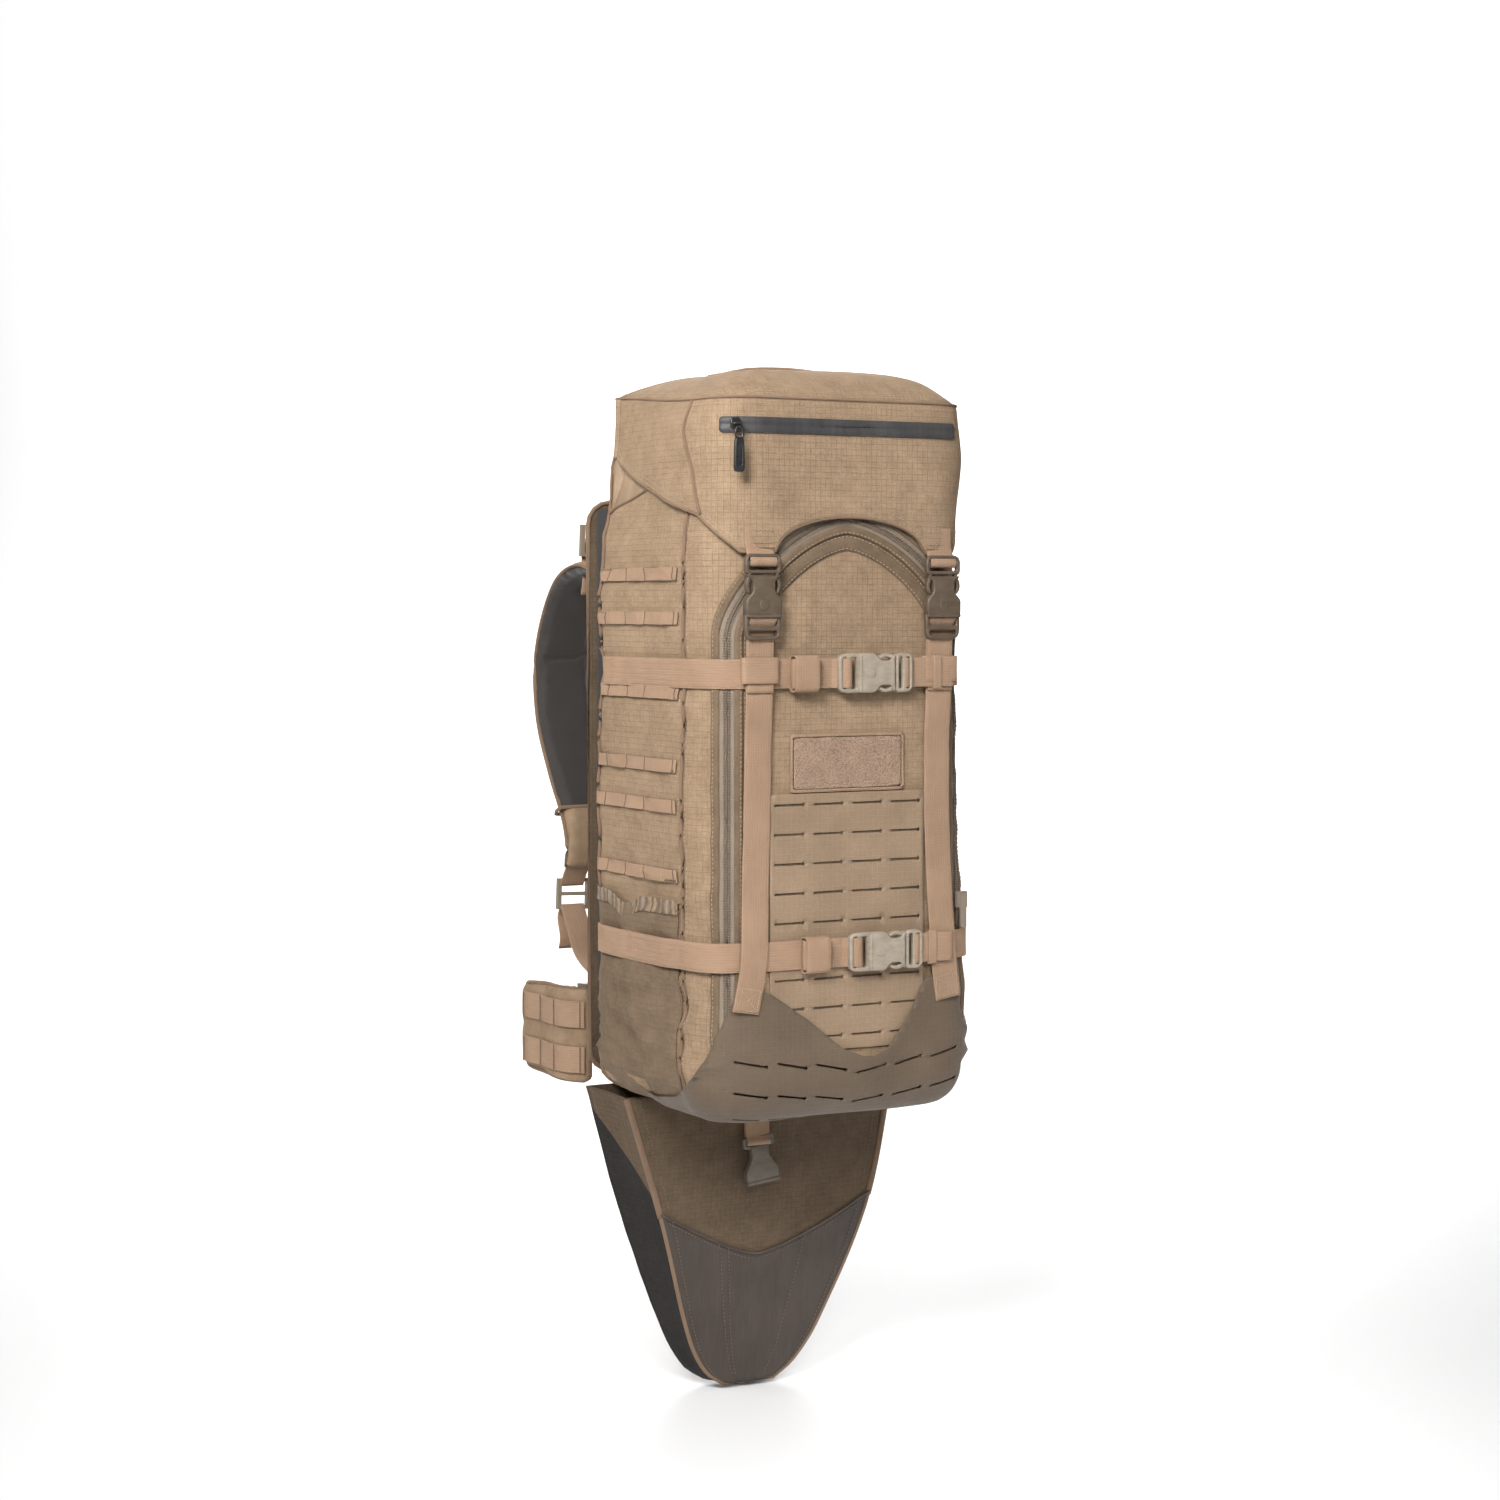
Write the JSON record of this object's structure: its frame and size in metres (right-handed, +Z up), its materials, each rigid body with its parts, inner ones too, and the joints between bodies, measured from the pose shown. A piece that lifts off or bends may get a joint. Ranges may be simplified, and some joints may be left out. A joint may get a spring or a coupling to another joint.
{
  "type": "hunting backpack",
  "caption": "Tall framed hunting backpack with a buckled lid, compression straps, laser-cut front, side pockets, a rifle scabbard with a fold-up tail, shoulder straps and hip belt.",
  "frame": {"origin": "the point under the top of the hang loop where a hook carries the pack", "axes": "+Z up, -Y towards the pack's front (away from the wearer), +X to the right seen from the front"},
  "size_m": [0.3166, 0.4765, 0.9558],
  "materials": {
    "pack_fabric": "matte ripstop",
    "webbing": "matte",
    "buckle_plastic": "satin",
    "zip_black": "satin",
    "zip_tape": "matte",
    "laminate": "matte",
    "loop_pile": "matte",
    "coated_fabric": "satin",
    "frame_plastic": "matte",
    "stay_aluminium": "satin",
    "spacer_mesh": "matte"
  },
  "bodies": {
    "pack": {"back_pads": "spacer_mesh", "back_panel": "spacer_mesh", "bag_back_wall": "pack_fabric", "bag_floor": "pack_fabric", "bag_front_panel": "pack_fabric", "bag_left_side": "pack_fabric", "bag_right_side": "pack_fabric", "bucket_flap": "laminate", "collar": "pack_fabric", "collar_cord_lock": "zip_black", "frame_sheet": "frame_plastic", "frame_stays": "stay_aluminium", "front_laminate": "laminate", "front_zip_tape": "zip_tape", "hang_loop": "webbing", "lid_buckle_females": "buckle_plastic", "load_lifter_locks": "buckle_plastic", "load_lifters": "webbing", "lower_buckle_female": "buckle_plastic", "lower_locks": "buckle_plastic", "lower_strap": "webbing", "lower_webbing": "webbing", "lumbar_pad": "spacer_mesh", "patch_field": "loop_pile", "rolled_strap_ends": "webbing", "scabbard_sleeve": "pack_fabric", "shoulder_strap_left": "spacer_mesh", "shoulder_strap_right": "spacer_mesh", "side_pockets": "pack_fabric", "side_webbing": "webbing", "sternum_slides": "buckle_plastic", "strap_keepers": "webbing", "upper_buckle_female": "buckle_plastic", "upper_strap": "webbing", "vertical_straps": "webbing"},
    "lid": {"lid_shell": "pack_fabric", "lid_pocket_floor": "pack_fabric", "lid_zip_tape": "zip_black", "lid_handle": "webbing", "lid_tabs": "webbing", "lid_buckle_males": "buckle_plastic"},
    "lid_zip": {"lid_zip_slider": "zip_black"},
    "lid_puller": {"lid_zip_puller": "zip_black"},
    "front_zip": {"front_zip_slider": "zip_tape"},
    "upper_buckle": {"upper_buckle_male": "buckle_plastic", "upper_loose_ply": "webbing"},
    "lower_buckle": {"lower_buckle_male": "buckle_plastic", "lower_loose_ply": "webbing"},
    "tail": {"tail_upper": "pack_fabric", "tail_tip": "coated_fabric", "tail_webbing": "webbing", "tail_buckle_half": "buckle_plastic"},
    "belt_left": {"belt_wing_left": "pack_fabric", "belt_rows_left": "webbing", "belt_webbing_left": "webbing", "belt_buckle_female": "buckle_plastic"},
    "belt_right": {"belt_wing_right": "pack_fabric", "belt_rows_right": "webbing", "belt_webbing_right": "webbing", "belt_buckle_male": "buckle_plastic"}
  },
  "joints": [
    {"name": "lid_lift", "type": "slide", "parent": "pack", "child": "lid", "axis": [0, 0, 1], "range_m": [0, 0.13]},
    {"name": "lid_zip_slide", "type": "slide", "parent": "lid", "child": "lid_zip", "axis": [1, 0, 0], "range_m": [0, 0.2]},
    {"name": "lid_puller_swing", "type": "hinge", "parent": "lid_zip", "child": "lid_puller", "pos_m": [-0.113, -0.2881, 0.02], "axis": [-1, 0, 0], "range_deg": [0, 100]},
    {"name": "front_zip_slide", "type": "slide", "parent": "pack", "child": "front_zip", "axis": [0, 0, 1], "range_m": [0, 0.16]},
    {"name": "upper_buckle_release", "type": "slide", "parent": "pack", "child": "upper_buckle", "axis": [1, 0, 0], "range_m": [0, 0.012]},
    {"name": "lower_buckle_release", "type": "slide", "parent": "pack", "child": "lower_buckle", "axis": [1, 0, 0], "range_m": [0, 0.012]},
    {"name": "scabbard_fold", "type": "hinge", "parent": "pack", "child": "tail", "pos_m": [0, -0.0986, -0.575], "axis": [-1, 0, 0], "range_deg": [0, 78]},
    {"name": "belt_left_swing", "type": "hinge", "parent": "pack", "child": "belt_left", "pos_m": [-0.1166, 0.0055, -0.532], "axis": [0, 0, 1], "range_deg": [-8, 35]},
    {"name": "belt_right_swing", "type": "hinge", "parent": "pack", "child": "belt_right", "pos_m": [0.1166, 0.0055, -0.532], "axis": [0, 0, -1], "range_deg": [-8, 35]}
  ]
}
